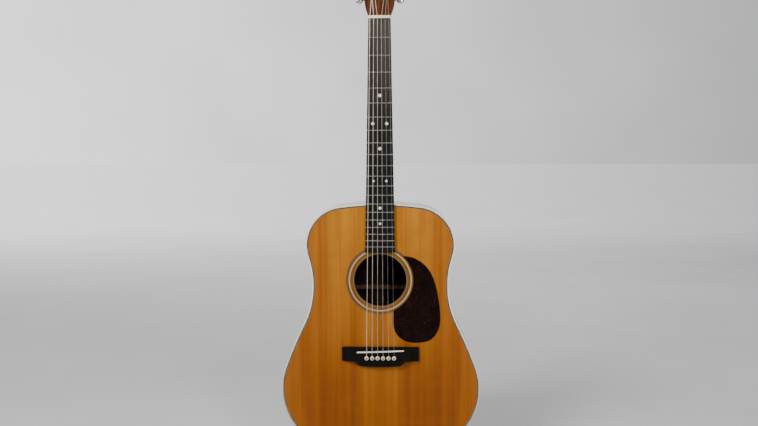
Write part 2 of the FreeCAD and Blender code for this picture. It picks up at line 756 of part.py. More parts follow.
def path(index, gauge):
    """Ball end, bridge top, saddle crest, nut crest and post side of one string's centre line."""
    front, half = value("front_y"), gauge / 2
    at_pin, at_nut = string_x(index, "5 * pin_pitch"), string_x(index, "string_spread_nut")
    slot_z = value("pin_z + pin_radius") + half + 0.1
    saddle_up = value("saddle_z") + at_pin * math.tan(math.radians(value("saddle_lean")))
    crest = front - value("saddle_tall") + crown_drop(at_pin) - half - 0.05
    nut_y = front - value("string_lift") + crown_drop(at_nut) - half
    side, across, up, rise = post_of(index)
    reach = value("post_radius + coil_gap") + half
    post = HEAD.multVec(Vector(side * (across - reach), -value("headplate_thick") - rise, up))
    return [Vector(at_pin, front + 6.5, slot_z),
            Vector(at_pin, front - value("bridge_thick") - 1.0, slot_z),
            Vector(at_pin, crest, saddle_up), Vector(at_nut, nut_y, value("nut_z") + 1.2), post]


def rounded(points, radii):
    """Straight runs through the points, joined by tangent arcs of the given radii."""
    edges, start = [], points[0]
    for k in range(1, len(points) - 1):
        before, after = (points[k] - points[k - 1]).normalize(), (points[k + 1] - points[k]).normalize()
        turn = before.getAngle(after)
        back = radii[k - 1] * math.tan(turn / 2)
        first, last = points[k] - before * back, points[k] + after * back
        inward = (after - before).normalize()
        middle = points[k] + inward * (radii[k - 1] / math.cos(turn / 2) - radii[k - 1])
        edges += [Part.LineSegment(start, first).toShape(), Part.Arc(first, middle, last).toShape()]
        start = last
    edges.append(Part.LineSegment(start, points[-1]).toShape())
    return Part.Wire(edges)


def tube(points, radii, radius):
    spine = rounded(points, radii)
    way = (points[1] - points[0]).normalize()
    section = Part.Wire(Part.Circle(points[0], way, radius).toShape())
    return spine.makePipeShell([section], True, False)


def string_solid(index, name, gauge):
    """The stretched string, its ball end below the bridge plate and its winding on the post."""
    half = gauge / 2
    points = path(index, gauge)
    run = tube(points, [1.2, value("saddle_round") + half + 0.02, 8.0], half)
    side, across, up, rise = post_of(index)
    inner, tall = value("post_radius + coil_gap"), 3 * gauge
    foot = Vector(side * across, -value("headplate_thick") - rise - half, up)
    coil = Part.makeCylinder(inner + gauge, tall, foot, BACKWARD)
    coil = coil.cut(Part.makeCylinder(inner, tall, foot, BACKWARD))
    coil.Placement = HEAD
    ball = Vector(points[0].x - 1.75, points[0].y + 1.6, value("pin_z + pin_radius") + 2.1)
    end = Part.makeCylinder(1.9, 3.5, ball, Vector(1, 0, 0))
    solid = make("Part::Feature", f"string_{name}")
    solid.Shape = Part.Compound([run.fuse([coil]), end.cut(run)])
    return solid


strings = [string_solid(index, name, gauge) for index, (name, gauge) in enumerate(STRINGS)]

nut_top = "front_y - string_lift - 0.9"
nut_block = box("nut_block", ("-nut_width / 2", "nut_width / 2"), (nut_top, "front_y"),
                ("nut_z", "nut_z + nut_thick"))
nut_crown = rod("nut_crown", "board_radius", ("0", f"{nut_top} + board_radius", "800"), "100")
slots = []
for index, (name, gauge) in enumerate(STRINGS):
    groove = make("Part::Feature", f"nut_slot_{name}")
    nut_path = path(index, gauge)
    groove.Shape = tube([nut_path[3] - (nut_path[3] - nut_path[2]).normalize() * 12, nut_path[3],
                         nut_path[3] + (nut_path[4] - nut_path[3]).normalize() * 12],
                        [8.0], gauge / 2 + 0.05)
    slots.append(groove)
    open_top = make("Part::Feature", f"nut_open_{name}")
    wide = gauge + 0.1
    open_top.Shape = Part.makeBox(wide, 3, 12, Vector(nut_path[3].x - wide / 2, nut_path[3].y - 3,
                                                     value("nut_z") - 3))
    slots.append(open_top)
node(cut("nut", common("nut_shape", nut_block, nut_crown), *slots), "nut")


# --- bridge, saddle, pins and pickguard -----------------------------------------------------------

wing_low = "bridge_z - 27.8"
belly_low = "bridge_z - 38.6"
bridge_shape = outline("bridge_outline",
                       [("0", belly_low, "600"), ("36.0", f"{belly_low} + 1.1", "14"),
                        ("45.0", f"{belly_low} + 5.6", "-14"), ("54.0", wing_low),
                        ("bridge_half - 2", wing_low, "2"), ("bridge_half", f"{wing_low} + 2"),
                        ("bridge_half", "bridge_z - 2", "2"), ("bridge_half - 2", "bridge_z"),
                        ("0", "bridge_z")], both_sides=True)
bridge_block = plate("bridge_block", bridge_shape, "front_y - bridge_thick", "front_y")
scoops = [rod(f"bridge_scoop_{k}", "30", (f"{way} * (bridge_half + 1)", "front_y - 33.4", "150"), "120")
          for k, way in enumerate((-1, 1))]


def saddle_block(name, spare, front, back):
    """The saddle's blank, or with spare its slot, leaning across the bridge."""
    block_ = bind(make("Part::Box", name), Length=f"2 * saddle_half + 2 * {spare}",
                  Width=f"({back}) - ({front})", Height=f"saddle_thick + 2 * {spare}")
    corner = Vector(-value("saddle_half") - spare, 0, -value("saddle_thick") / 2 - spare)
    middle = Placement(corner, Rotation())
    spot = Vector(0, value(front), value("saddle_z"))
    block_.Placement = Placement(spot, Rotation(Vector(0, 1, 0), -value("saddle_lean"))).multiply(middle)
    return block_


saddle_floor = "front_y - bridge_thick + 5"
saddle_slot = saddle_block("saddle_slot", 0.02, "front_y - bridge_thick - 1", saddle_floor)
node(cut("bridge", bridge_block, *scoops, saddle_slot, pin_holes), "bridge")
saddle_spot = Placement(Vector(0, value("front_y - saddle_tall + board_radius"), value("saddle_z")),
                        Rotation(Vector(0, 1, 0), -value("saddle_lean")))


def saddle_crest():
    """A disc with a round edge, whose rim is the saddle's crowned and rounded top."""
    edge = bind(make("Part::Torus", "saddle_edge"), Radius1="board_radius - saddle_round",
                Radius2="saddle_round")
    edge.Placement = saddle_spot
    disc = bind(make("Part::Cylinder", "saddle_disc"), Radius="board_radius - saddle_round",
                Height="2 * saddle_round")
    disc.Placement = saddle_spot.multiply(Placement(Vector(0, 0, -value("saddle_round")), Rotation()))
    return fuse("saddle_crest", edge, disc)


saddle = common("saddle", saddle_block("saddle_blank", 0, "front_y - saddle_tall - 1", saddle_floor),
                saddle_crest())
node(saddle, "saddle")


def bridge_pin(name, across):
    """A domed head on a tapered shank."""
    top = "front_y - bridge_thick"
    shank = bind(make("Part::Cone", f"shank_{name}"), Radius1="pin_radius", Radius2="pin_radius * 0.85",
                 Height="24")
    shank.Placement = Placement(Vector(0, 0, 0), Rotation(Vector(0, 0, 1), BACKWARD))
    place(shank, across, top, "pin_z")
    dome = bind(make("Part::Ellipsoid", f"dome_{name}"), Radius1="3.0", Radius2="4.0", Radius3="4.0")
    dome.Placement = Placement(Vector(0, 0, 0), Rotation(Vector(0, 0, 1), Vector(0, -1, 0)))
    place(dome, across, f"{top} - pin_collar", "pin_z")
    front_half = box(f"dome_zone_{name}", (f"{across} - 5", f"{across} + 5"),
                     (f"{top} - 6", f"{top} - pin_collar"), ("pin_z - 5", "pin_z + 5"))
    collar = rod(f"collar_{name}", "pin_radius", (across, f"{top} - pin_collar", "pin_z"), "pin_collar",
                 BACKWARD)
    return fuse(f"pin_{name}", shank, collar, common(f"pin_head_{name}", dome, front_half))


pins = group("pin_set", *[bridge_pin(name, string_x(k, "5 * pin_pitch"))
                          for k, (name, gauge) in enumerate(STRINGS)])
node(pins, "bridge_pins")


# (across, up) round the pickguard's blade, from above the sound hole to below it
GUARD = [(64, 401.8), (90, 384.6), (110.5, 340), (117.2, 298), (113.8, 258), (100, 239.8), (73, 232.8),
         (46, 237.6), (30.4, 252.5), (25.2, 275)]


def guard_wire():
    """The pickguard: round the sound hole inside, a full rounded blade outside."""
    inner, centre = value("guard_inner"), Vector(0, 0, value("hole_z"))

    def beside_hole(across, way):
        return centre + Vector(across, 0, way * math.sqrt(inner ** 2 - across ** 2))

    first, last = beside_hole(44.8, 1), beside_hole(25.6, -1)
    blade = Part.BSplineCurve()
    blade.interpolate([first] + [Vector(x, 0, z) for x, z in GUARD] + [last])
    toward_middle = (first - centre).normalize() + (last - centre).normalize()
    edge = Part.Arc(last, centre + toward_middle.normalize() * inner, first).toShape()
    shape = make("Part::Feature", "guard_outline")
    shape.Shape = Part.Wire([blade.toShape(), edge])
    return shape


node(plate("pickguard", guard_wire(), "front_y - guard_thick", "front_y"), "pickguard")


# --- strap pin ------------------------------------------------------------------------------------

def strap_pin():
    """A turned end pin: waist, flared head and a shank in the tail block."""
    shank = rod("strap_shank", "strap_bore - 0.01", ("0", "0", "0"), "20")
    seat = rod("strap_seat", "6.2", ("0", "0", "-1.4"), "1.4")
    waist = rod("strap_waist", "4.0", ("0", "0", "-6.6"), "5.4")
    flare = bind(make("Part::Cone", "strap_flare"), Radius1="strap_head", Radius2="4.0", Height="2.4")
    place(flare, "0", "0", "-9.0")
    dome = bind(make("Part::Ellipsoid", "strap_dome"), Radius1="2.4", Radius2="strap_head",
                Radius3="strap_head")
    place(dome, "0", "0", "-9.0")
    end = common("strap_end", dome, box("strap_zone", ("-9", "9"), ("-9", "9"), ("-14", "-9.0")))
    return fuse("strap_pin", shank, seat, waist, flare, end)


node(strap_pin(), "strap_pin")


# --- tuners: drawn once about the post, then carried to each place on the headstock ---------------

back_face = "head_thick"


def bushing():
    sleeve = rod("bush_sleeve", "4.5", ("0", "-headplate_thick", "0"), "8", BACKWARD)
    flange = rod("bush_flange", "6.2", ("0", "-headplate_thick - 1.2", "0"), "1.2", BACKWARD)
    bore = rod("bush_bore", "post_radius + running_gap", ("0", "-10", "0"), "30", BACKWARD)
    return cut("bushing", fuse("bush_body", sleeve, flange), bore)


def string_post():
    """A waisted post with a string hole, a collar, and the toothed wheel on its back end."""
    shaft_ = rod("post_shaft", "post_radius", ("0", "-headplate_thick - 13", "0"),
                 "headplate_thick + 13 + wheel_y - wheel_wide / 2", BACKWARD)
    hole_ = rod("post_hole", "0.95", ("0", "-headplate_thick - 9.8", "-5"), "10")
    waist_ = make("Part::Torus", "post_waist")
    bind(waist_, Radius1="post_radius + 4.4", Radius2="5.0")
    waist_.Placement = Placement(Vector(0, 0, 0), Rotation(Vector(1, 0, 0), 90))
    place(waist_, "0", "-headplate_thick - 9.8", "0")
    collar = rod("post_collar", "4.0", ("0", f"{back_face} + plate_thick + 0.1", "0"),
                 f"wheel_y - wheel_wide / 2 - {back_face} - plate_thick - 0.1", BACKWARD)
    return cut("post_body", fuse("post_solid", shaft_, collar), hole_, waist_)


def wheel():
    """The worm wheel: a disc with straight flared gaps between its teeth."""
    disc = rod("wheel_disc", "wheel_outer", ("0", "wheel_y - wheel_wide / 2", "0"), "wheel_wide",
               BACKWARD)
    gap = outline("wheel_gap", [("-0.55", "-wheel_root"), ("-0.92", "-wheel_outer - 0.3"),
                                ("0.92", "-wheel_outer - 0.3"), ("0.55", "-wheel_root")])
    tools = []
    teeth = int(value("wheel_teeth"))
    for k in range(teeth):
        slab = plate(f"tooth_gap_{k}", gap, "wheel_y - wheel_wide", "wheel_y + wheel_wide")
        slab.Placement = Placement(Vector(0, value("wheel_y - wheel_wide"), 0),
                                   Rotation(Vector(0, 1, 0), 360.0 * k / teeth))
        slab.setExpression("Placement.Base.y", cells("wheel_y - wheel_wide"))
        tools.append(slab)
    screw = rod("wheel_screw", "2.6", ("0", "wheel_y + wheel_wide / 2", "0"), "1.3", BACKWARD)
    slot = box("wheel_screw_slot", ("-3", "3"), ("wheel_y + wheel_wide / 2 + 0.6", "wheel_y + 4"),
               ("-0.4", "0.4"))
    return [cut("wheel", disc, *tools), cut("wheel_screw_cut", screw, slot)]


def worm():
    """A single-start worm on its shaft, lying across the head below the post."""
    pitch_radius = value("worm_drop - (worm_core + worm_outer) / 2")
    lead = 2 * math.pi * pitch_radius / value("wheel_teeth")
    coil = make("Part::Helix", "worm_line")
    coil.Pitch = lead
    coil.Height = 3 * lead
    coil.Radius = value("worm_core") - 0.2
    core, outer = value("worm_core") - 0.2, value("worm_outer")
    ridge = make("Part::Feature", "worm_ridge")
    ridge.Shape = Part.makePolygon([Vector(core, 0, -0.42), Vector(outer, 0, -0.24),
                                    Vector(outer, 0, 0.24), Vector(core, 0, 0.42),
                                    Vector(core, 0, -0.42)])
    thread = make("Part::Sweep", "worm_thread")
    thread.Sections = [ridge]
    thread.Spine = (coil, ["Edge1"])
    thread.Solid = True
    thread.Frenet = True
    body_ = rod("worm_body", "worm_core", ("0", "0", "-worm_half"), "2 * worm_half")
    lift = group("worm_lift", thread)
    lift.Placement = Placement(Vector(0, 0, -1.5 * lead), Rotation(Vector(0, 0, 1), 180))
    shaft_ = rod("worm_shaft", "shaft_radius", ("0", "0", "-7.4"), "21.4")
    return fuse("worm_solid", body_, lift, shaft_)


LUG = [(4.8, 6.8), (-6.8, -4.8)]


def base_plate():
    """The plate behind the head, with two lugs that carry the worm's shaft."""
    flat = box("base_flat", ("-7.2", "7.2"), (back_face, f"{back_face} + plate_thick"), ("-15.6", "10"))
    lugs = [box(f"base_lug_{k}", low_high, (back_face, "wheel_y + 2.9"),
                ("-worm_drop - 2.6", "-worm_drop + 2.6")) for k, low_high in enumerate(LUG)]
    shaft_bore = rod("lug_bore", "shaft_radius + running_gap", ("-20", "wheel_y", "-worm_drop"), "40",
                     Vector(1, 0, 0))
    post_bore = rod("base_bore", "post_radius + 0.5", ("0", "0", "0"), "40", BACKWARD)
    screw_bores = [rod(f"base_screw_bore_{k}", "1.05", ("0", "0", up), "40", BACKWARD)
                   for k, up in enumerate(SCREW_UP)]
    return cut("base_plate", fuse("base_solid", flat, *lugs), shaft_bore, post_bore, *screw_bores)


def base_screws():
    """Two domed wood screws for a tuner's plate."""
    solids = []
    for k, up in enumerate(SCREW_UP):
        shank = rod(f"screw_shank_{k}", "0.98", ("0", "head_thick - 7", up), "7 + plate_thick",
                    BACKWARD)
        dome = bind(make("Part::Ellipsoid", f"screw_dome_{k}"), Radius1="1.2", Radius2="1.9",
                    Radius3="1.9")
        dome.Placement = Placement(Vector(0, 0, 0), Rotation(Vector(0, 0, 1), BACKWARD))
        place(dome, "0", f"{back_face} + plate_thick", up)
        zone = box(f"screw_zone_{k}", ("-3", "3"), (f"{back_face} + plate_thick", f"{back_face} + 4"),
                   (f"{up} - 3", f"{up} + 3"))
        solids.append(fuse(f"base_screw_{k}", shank, common(f"screw_head_{k}", dome, zone)))
    return solids


# (distance from the post, half height, half thickness) of the tuner button
KEY = [(14.7, 3.0, 2.4), (16.5, 6.6, 3.3), (20.0, 8.6, 4.0), (24.5, 8.5, 3.9), (28.1, 6.2, 3.0),
       (29.7, 2.6, 1.4)]


def button():
    """An oval key on a short neck, pressed on the worm's shaft."""
    rings = []
    for k, (out, tall, thick) in enumerate(KEY):
        hoop = bind(make("Part::Ellipse", f"key_ring_{k}"), MajorRadius=tall, MinorRadius=thick)
        hoop.Placement = Placement(Vector(0, 0, 0), Rotation(Vector(0, 1, 0), -90))
        rings.append(place(hoop, f"-{out}", "wheel_y", "-worm_drop"))
    knob = loft("key_oval", rings)
    neck_ = bind(make("Part::Cone", "key_neck"), Radius1="2.3", Radius2="3.4", Height="8.5")
    neck_.Placement = Placement(Vector(0, 0, 0), Rotation(Vector(0, 0, 1), Vector(-1, 0, 0)))
    place(neck_, "-8.2", "wheel_y", "-worm_drop")
    bore = rod("key_bore", "shaft_radius", ("-14", "wheel_y", "-worm_drop"), "12", Vector(1, 0, 0))
    return cut("key_solid", fuse("key_whole", knob, neck_), bore)


template = {"post": group("post_template", string_post(), *wheel()), "key": button(),
            "bush": bushing(), "base": base_plate(), "screws": group("screw_template", *base_screws())}
worm_template = group("worm_template", worm())
worm_template.Placement = Placement(Vector(0, value("wheel_y"), -value("worm_drop")),
                                    Rotation(Vector(0, 0, 1), Vector(-1, 0, 0)))
template["worm"] = worm_template


def carry(name, source, index):
    """A bass tuner piece on post index, or its mirror image on the treble side for 3 to 5."""
    _, across, up, _ = post_of(index)
    local = Placement(Vector(-across, 0, up), Rotation())
    moved = group(name + ("_far" if index > 2 else ""), source)
    moved.Placement = HEAD.multiply(local)
    return mirrored(name, moved) if index > 2 else moved


for kind, label in (("bush", "post_bushings"), ("base", "tuner_plates"), ("screws", "tuner_screws")):
    node(group(label, *[carry(f"{kind}_{k}", template[kind], k) for k in range(6)]), label)
for index, (name, gauge) in enumerate(STRINGS):
    node(strings[index], f"string_{name}")
    node(carry(f"post_{name}", template["post"], index), f"string_post_{name}")
    node(carry(f"worm_{name}", template["worm"], index), f"worm_shaft_{name}")
    node(carry(f"key_{name}", template["key"], index), f"tuner_button_{name}")


# --- check and write ------------------------------------------------------------------------------

doc.recompute()
wrong = [f"{thing.Label}: {thing.State}" for thing in doc.Objects
         if "Invalid" in thing.State or "Error" in thing.State]
for thing in nodes:
    if thing.Shape.isNull() or not thing.Shape.isValid() or not thing.Shape.Solids:
        wrong.append(f"{thing.Label}: bad shape")
if wrong:
    raise RuntimeError("failed objects: " + "; ".join(wrong))
os.makedirs("parts", exist_ok=True)
for thing in nodes:
    thing.Shape.exportStep(os.path.join("parts", thing.Label + ".step"))
print(len(nodes), "nodes written")
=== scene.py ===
import math

import bmesh
import bpy
from mathutils import Matrix, Vector


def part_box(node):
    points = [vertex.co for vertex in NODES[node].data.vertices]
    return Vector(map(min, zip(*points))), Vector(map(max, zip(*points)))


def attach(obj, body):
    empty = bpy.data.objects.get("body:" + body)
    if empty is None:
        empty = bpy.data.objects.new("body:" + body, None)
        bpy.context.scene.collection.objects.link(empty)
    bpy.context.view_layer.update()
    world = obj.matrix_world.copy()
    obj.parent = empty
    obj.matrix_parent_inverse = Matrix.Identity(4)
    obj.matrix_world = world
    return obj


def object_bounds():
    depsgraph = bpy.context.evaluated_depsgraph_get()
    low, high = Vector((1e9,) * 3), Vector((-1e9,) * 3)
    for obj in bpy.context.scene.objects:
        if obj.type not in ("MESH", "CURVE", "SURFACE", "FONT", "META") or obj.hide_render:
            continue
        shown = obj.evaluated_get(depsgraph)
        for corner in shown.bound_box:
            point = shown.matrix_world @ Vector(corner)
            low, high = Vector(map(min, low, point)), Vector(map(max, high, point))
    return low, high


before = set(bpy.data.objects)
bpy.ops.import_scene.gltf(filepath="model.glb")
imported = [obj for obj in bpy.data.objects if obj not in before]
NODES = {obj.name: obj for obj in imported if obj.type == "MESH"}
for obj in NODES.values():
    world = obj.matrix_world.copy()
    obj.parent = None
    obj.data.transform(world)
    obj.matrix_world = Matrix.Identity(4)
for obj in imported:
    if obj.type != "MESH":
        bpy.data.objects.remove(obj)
cad_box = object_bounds()
STRINGS = ["e_low", "a", "d", "g", "b", "e_high"]
WOUND = STRINGS[:4]
TAU = 2 * math.pi

# Sizes and places are in metres, and angles in radians, where nothing else is said.
HOLE_Z = 0.3572                                  # height of the sound hole's middle
BACK_RADIUS = 4.572                              # the back is part of a ball of this radius
BACK_MIDDLE = Vector((0.0, -4.510, 0.026))       # and this is the ball's middle
BACK_SKIN = 0.001                                # the back's face is outside the ball less this much
COAT_ROUGHNESS = 0.08
WRAP_PITCH = 0.00034                             # between the turns of a wound string's wire
TILE_PROUD = 0.00003                             # how far an inlaid tile stands out of its face
TILE_DEEP = 0.0004                               # and how far it reaches in
HERRING_PITCH = 0.0019                           # between tiles along the purfling
HERRING_WIDE = 0.00085
HERRING_LEAN = 0.0008
STRIP_PITCH = 0.0042                             # between tiles along the back's middle
STRIP_MARGIN = 0.002
STRIP_WIDE = 0.0019                              # a tile's width, and how far it leans
PIN_SPACING = 0.0108
PIN_RADIUS = 0.004                               # of a bridge pin's head
PIN_DOME = 0.003                                 # how far the head's dome stands out
DOT_RADIUS = 0.0019
DOT_PROUD = 0.00006
DOT_DEEP = 0.0002                                # the dot's rim sinks this far into the dome
EYE = Vector((0.0491, -1.8196, 0.6194))          # the camera's place
YAW = 0.0291                                     # to the viewer's left
PITCH = 0.0735                                   # downwards
ROLL = 0.0031
SENSOR = 36.0                                    # millimetres
LENS = 42.74406                                  # millimetres
FLOOR_SIZE = 60.0
FLOOR_DROP = 0.0005                              # how far the floor lies below the guitar
FLOOR_GLOW = 2.2
GLOW_FAN = 1.8                                   # the glow's fall fans out from this far in front


# --- shading kit ----------------------------------------------------------------------------------

class Shade:
    """Builds one procedural material. Places are in metres in the guitar's own frame."""

    def __init__(self, name, rough=0.4, metal=0.0, coat=0.0, shine=0.5):
        self.material = bpy.data.materials.new(name)
        self.material.use_nodes = True
        self.tree = self.material.node_tree
        self.surface = self.tree.nodes["Principled BSDF"]
        for socket, size in (("Roughness", rough), ("Metallic", metal), ("Coat Weight", coat),
                             ("Coat Roughness", COAT_ROUGHNESS), ("Specular IOR Level", shine)):
            self.surface.inputs[socket].default_value = size
        self.place = self.node("ShaderNodeTexCoord").outputs["Object"]
        parts = self.node("ShaderNodeSeparateXYZ", Vector=self.place).outputs
        self.x, self.y, self.z = parts[0], parts[1], parts[2]

    def node(self, kind, settings=None, **inputs):
        made = self.tree.nodes.new(kind)
        for key, setting in (settings or {}).items():
            setattr(made, key, setting)
        for key, given in inputs.items():
            self.feed(made.inputs[key], given)
        return made

    def feed(self, socket, given):
        if isinstance(given, bpy.types.NodeSocket):
            self.tree.links.new(given, socket)
        elif given is not None:
            socket.default_value = given

    def math(self, operation, a, b=None, c=None):
        made = self.node("ShaderNodeMath", {"operation": operation})
        for socket, given in zip(made.inputs, (a, b, c)):
            self.feed(socket, given)
        return made.outputs[0]

    def add(self, a, b):
        return self.math("ADD", a, b)

    def times(self, a, b):
        return self.math("MULTIPLY", a, b)

    def vector(self, x, y, z):
        made = self.node("ShaderNodeCombineXYZ")
        for socket, given in zip(made.inputs, (x, y, z)):
            self.feed(socket, given)
        return made.outputs[0]

    def noise(self, where, scale, detail=3.0, rough=0.55, warp=0.0):
        made = self.node("ShaderNodeTexNoise", Vector=where, Scale=scale, Detail=detail,
                         Roughness=rough, Distortion=warp)
        return made.outputs["Fac"]

    def ramp(self, amount, stops, smooth=True):
        made = self.node("ShaderNodeValToRGB", Fac=amount)
        made.color_ramp.interpolation = "EASE" if smooth else "LINEAR"
        points = made.color_ramp.elements
        while len(points) < len(stops):
            points.new(0.5)
        for point, (at, colour) in zip(points, stops):
            point.position = at
            grey = colour if isinstance(colour, tuple) else (colour, colour, colour)
            point.color = (*grey, 1.0)
        return made.outputs["Color"]

    def mix(self, amount, a, b, mode="MIX"):
        made = self.tree.nodes.new("ShaderNodeMix")
        made.data_type = "RGBA"
        made.blend_type = mode
        self.feed(made.inputs[0], amount)
        for socket, given in ((made.inputs[6], a), (made.inputs[7], b)):
            self.feed(socket, (*given, 1.0) if isinstance(given, tuple) else given)
        return made.outputs[2]

    def colour(self, socket):
        self.feed(self.surface.inputs["Base Color"], socket)

    def roughness(self, socket):
        self.feed(self.surface.inputs["Roughness"], socket)

    def bump(self, height, depth, strength=1.0):
        made = self.node("ShaderNodeBump", Height=height, Distance=depth, Strength=strength)
        self.feed(self.surface.inputs["Normal"], made.outputs[0])


def scaled(colour, amount):
    """The colour made darker or lighter."""
    return tuple(c * amount for c in colour)


def wood(name, dark, light, across, growth=0.0014, streak=60.0, stretch=0.03, pores=0.0, rough=0.35,
         coat=0.0, lines=0.25, depth=0.00002, shift=0.0, shine=0.3):
    """Straight-grained wood along Z, with its fine grain and its colour kept for more layers.

    The grain changes along x or y, round the piece, or mirrored about the middle for a bookmatch.
    """
    s = Shade(name, rough=rough, coat=coat, shine=shine)
    if across == "book":
        side = s.math("ABSOLUTE", s.x)
    elif across == "y":
        side = s.y
    elif across == "round":
        side = s.add(s.x, s.times(s.y, 0.8))
    else:
        side = s.x
    side = s.add(side, shift)
    along = s.times(s.z, stretch)
    wander = s.noise(s.vector(s.times(side, 0.4), s.times(s.y, 0.2), s.times(s.z, 0.35)), 9.0, 2.0)
    grain = s.add(side, s.times(wander, 0.006))
    broad = s.noise(s.vector(grain, 0.0, along), streak, 4.0, 0.6)
    fine = s.noise(s.vector(s.times(grain, 6.0), 0.0, along), streak, 5.0, 0.7)
    ring = s.math("SINE", s.times(s.add(grain, s.times(broad, 0.003)), TAU / growth))
    ring = s.add(s.times(ring, 0.5), 0.5)
    tone = s.add(s.times(broad, 0.75), s.times(fine, 0.35))
    tone = s.math("SUBTRACT", tone, s.times(ring, lines * 0.25))
    colour = s.ramp(tone, [(0.28, dark), (0.62, light)])
    height = s.add(s.times(ring, 0.5), fine)
    if pores:
        slits = s.noise(s.vector(side, s.y, s.times(s.z, 0.05)), 900.0, 1.0)
        pit = s.ramp(slits, [(0.60, 0.0), (0.70, 1.0)])
        colour = s.mix(s.times(pit, pores), colour, scaled(dark, 0.35))
        height = s.math("SUBTRACT", height, s.times(pit, pores))
    s.colour(colour)
    s.bump(height, depth, 0.6)
    s.fine_grain = fine
    s.grain_colour = colour
    return s


def from_hole(s):
    """Distance from the middle of the sound hole, seen from the front."""
    made = s.node("ShaderNodeVectorMath", {"operation": "LENGTH"})
    s.feed(made.inputs[0], s.vector(s.x, 0.0, s.math("SUBTRACT", s.z, HOLE_Z)))
    return made.outputs["Value"]


def spruce_top():
    """Aged spruce, bookmatched: fine lines and warm streaks. It is darker in the lower bout, partly from
    age and partly as painted shade, darker at the edges, and darker and greyer round the rosette as
    painted shade."""
    s = wood("aged_spruce", (0.256, 0.072, 0.0070), (0.472, 0.182, 0.0110), "book", growth=0.0013,
             streak=44.0, stretch=0.016, rough=0.34, lines=0.45, depth=0.00001, shine=0.12)
    # the lower bout is darker towards the tail: partly age, partly painted shade
    age_and_painted_shade = s.ramp(s.add(s.times(s.z, 2.2), -0.1), [(0.0, (0.58, 0.46, 0.60)), (1.0, (1.0, 1.0, 1.0))])
    colour = s.mix(1.0, s.grain_colour, age_and_painted_shade, "MULTIPLY")
    band = s.noise(s.vector(s.add(s.math("ABSOLUTE", s.x), 0.7), 0.0, s.times(s.z, 0.12)), 26.0, 1.0)
    band_tone = s.ramp(band, [(0.36, (0.84, 0.76, 0.74)), (0.64, (1.06, 1.10, 1.10))])
    colour = s.mix(1.0, colour, band_tone, "MULTIPLY")
    silk = s.noise(s.vector(s.x, 0.0, s.times(s.z, 1.6)), 22.0, 3.0, 0.5)
    silk_share = s.times(s.ramp(silk, [(0.42, 0.0), (0.75, 1.0)]), 0.30)
    colour = s.mix(silk_share, colour, (0.285, 0.079, 0.010))
    edge = s.ramp(s.times(s.math("ABSOLUTE", s.x), 5.2), [(0.45, 0.0), (1.0, 1.0)])
    colour = s.mix(s.times(edge, 0.34), colour, (0.325, 0.090, 0.011))
    # painted shade: the spruce round the sound hole, inside the rosette's edge, is darker and greyer
    painted_shade_round_hole = s.ramp(s.times(from_hole(s), 10.0), [(0.66, 1.0), (0.69, 0.0)])
    colour = s.mix(painted_shade_round_hole, colour, s.mix(1.0, colour, (0.52, 0.60, 0.95), "MULTIPLY"))
    s.colour(colour)
    s.roughness(s.ramp(s.fine_grain, [(0.2, 0.28), (0.8, 0.44)]))
    return s.material


def rosewood(name, across, shift):
    """Dark brown wood with black ink lines and open pores under a gloss finish. The back's is dull
    inside the body, and darkened there as painted shade."""
    s = wood(name, (0.011, 0.004, 0.0027), (0.090, 0.031, 0.015), across, growth=0.0071, streak=21.0,
             stretch=0.07, pores=0.5, rough=0.3, coat=0.8, lines=0.35, shift=shift, depth=0.00003)
    ink = s.noise(s.vector(s.x, s.y, s.times(s.z, 0.06)), 75.0, 2.0, 0.4, 0.6)
    ink_share = s.ramp(ink, [(0.52, 0.0), (0.60, 0.8), (0.66, 0.0)])
    colour = s.mix(ink_share, s.grain_colour, (0.008, 0.004, 0.003))
    if across == "book":
        from_ball = s.node("ShaderNodeVectorMath", {"operation": "DISTANCE"})
        s.feed(from_ball.inputs[0], s.place)
        from_ball.inputs[1].default_value = BACK_MIDDLE
        outside = s.math("GREATER_THAN", from_ball.outputs["Value"], BACK_RADIUS - BACK_SKIN)
        # painted shade: inside the body the back and the bridge plate are darkened far below the wood's
        # colour
        colour = s.mix(outside, s.mix(1.0, colour, (0.15, 0.12, 0.11), "MULTIPLY"), colour)
        s.feed(s.surface.inputs["Coat Weight"], s.times(outside, 0.8))
        s.roughness(s.math("SUBTRACT", 0.85, s.times(outside, 0.55)))
    s.colour(colour)
    return s.material


def headplate_wood():
    """Reddish rosewood veneer with near-black streaks."""
    s = wood("headplate_rosewood", (0.030, 0.009, 0.0035), (0.130, 0.040, 0.0125), "x", growth=0.009,
             streak=55.0, stretch=0.05, pores=0.35, rough=0.30, coat=0.03, lines=0.5, shift=0.31, shine=0.08)
    return s.material


def mahogany(name, light=1.0, rough=0.34, coat=0.35):
    """Brown wood with open pores, darker where light is below 1."""
    s = wood(name, scaled((0.050, 0.015, 0.007), light), scaled((0.16, 0.057, 0.024), light), "round",
             growth=0.004, streak=55.0, stretch=0.04, pores=0.7, rough=rough, coat=coat, lines=0.4)
    return s.material


def pale_wood():
    """The braces' spruce, dull, and darkened as painted shade for the inside of the body."""
    return wood("brace_spruce", (0.060, 0.030, 0.012), (0.12, 0.068, 0.031), "round", growth=0.0015,
                streak=60.0, rough=0.62, lines=0.7, depth=0.00004).material


def ebony(name, rough, lift, shine):
    """Near-black wood that is painted lighter towards the nut, as painted sheen."""
    s = wood(name, scaled((0.005, 0.0045, 0.004), lift), scaled((0.011, 0.0095, 0.0085), lift), "x",
             growth=0.003, streak=140.0, stretch=0.05, pores=0.4, rough=rough, lines=0.3, depth=0.00001,
             shine=shine)
    # painted sheen: the colour is lifted towards the nut
    painted_sheen = s.ramp(s.z, [(0.55, (1.0, 1.0, 1.0)), (0.98, (9.5, 8.6, 8.2))])
    s.colour(s.mix(1.0, s.grain_colour, painted_sheen, "MULTIPLY"))
    s.roughness(s.ramp(s.fine_grain, [(0.3, rough - 0.08), (0.75, rough + 0.14)]))
    return s.material


